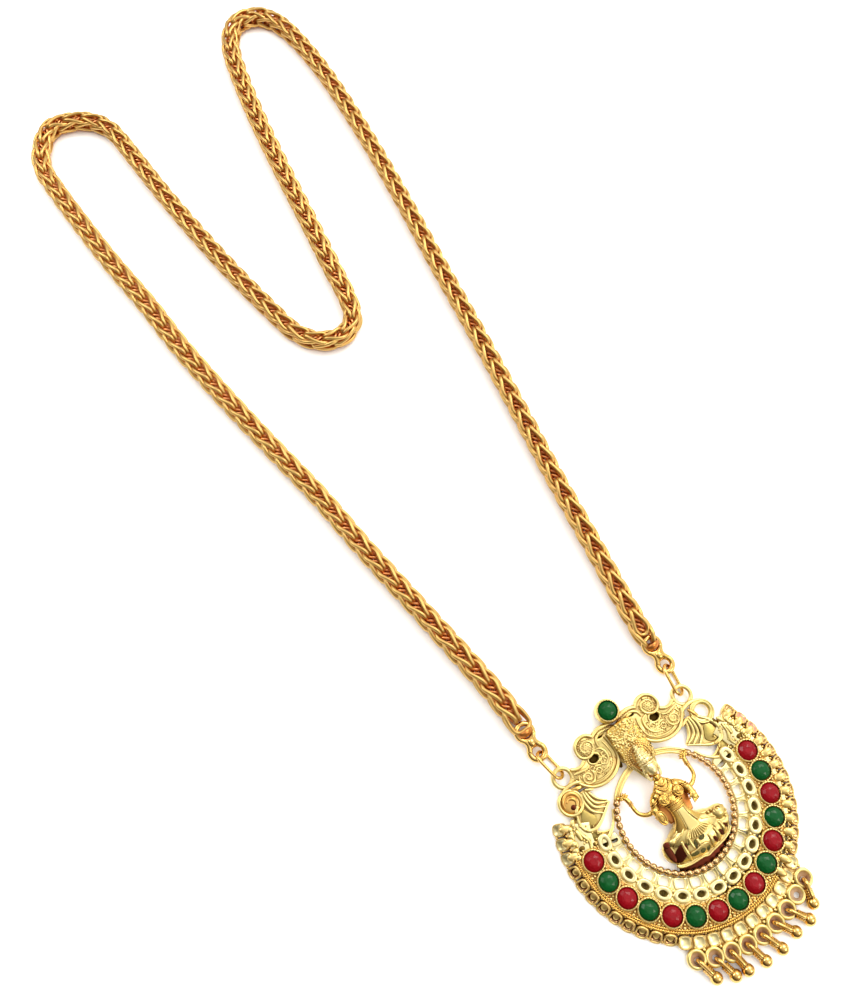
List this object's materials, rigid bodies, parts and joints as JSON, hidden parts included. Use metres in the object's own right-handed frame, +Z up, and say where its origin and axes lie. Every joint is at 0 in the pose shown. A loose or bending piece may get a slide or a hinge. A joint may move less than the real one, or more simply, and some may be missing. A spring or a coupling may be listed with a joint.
{
  "type": "mangalsutra",
  "caption": "Necklace laid flat: a wheat chain on a round crescent pendant with red and green stones, a seated figure in a beaded hoop, a paisley crest and ball drops.",
  "frame": {"origin": "on the surface that the necklace lies on, at the middle of its outline", "axes": "+Z up from the surface; +Y along the pendant's axis, from its drops towards the chain; +X to the right seen from above"},
  "size_m": [0.0823, 0.2655, 0.0062],
  "materials": {
    "gold_casting": "polished yellow gold plate over cast brass",
    "gold_chain": "polished yellow gold plate on wire links",
    "gold_wire": "polished yellow gold plate on wire and balls",
    "red_stone": "faceted opaque red glass",
    "green_stone": "faceted opaque green glass"
  },
  "bodies": {
    "root": {"crescent_plate": "gold_casting", "goddess_medallion": "gold_casting", "stone_1": "red_stone", "stone_2": "green_stone", "stone_3": "red_stone", "stone_4": "green_stone", "stone_5": "red_stone", "stone_6": "green_stone", "stone_7": "red_stone", "stone_8": "green_stone", "stone_9": "red_stone", "stone_10": "green_stone", "stone_11": "red_stone", "stone_12": "green_stone", "stone_13": "red_stone", "stone_14": "green_stone", "stone_15": "red_stone", "top_stone": "green_stone", "drop_1": "gold_wire", "drop_2": "gold_wire", "drop_3": "gold_wire", "drop_4": "gold_wire", "drop_5": "gold_wire", "drop_6": "gold_wire", "drop_7": "gold_wire", "drop_8": "gold_wire", "chain": "gold_chain", "end_connector_left": "gold_wire", "end_connector_right": "gold_wire", "jump_link_left": "gold_wire", "jump_link_right": "gold_wire"}
  },
  "joints": []
}
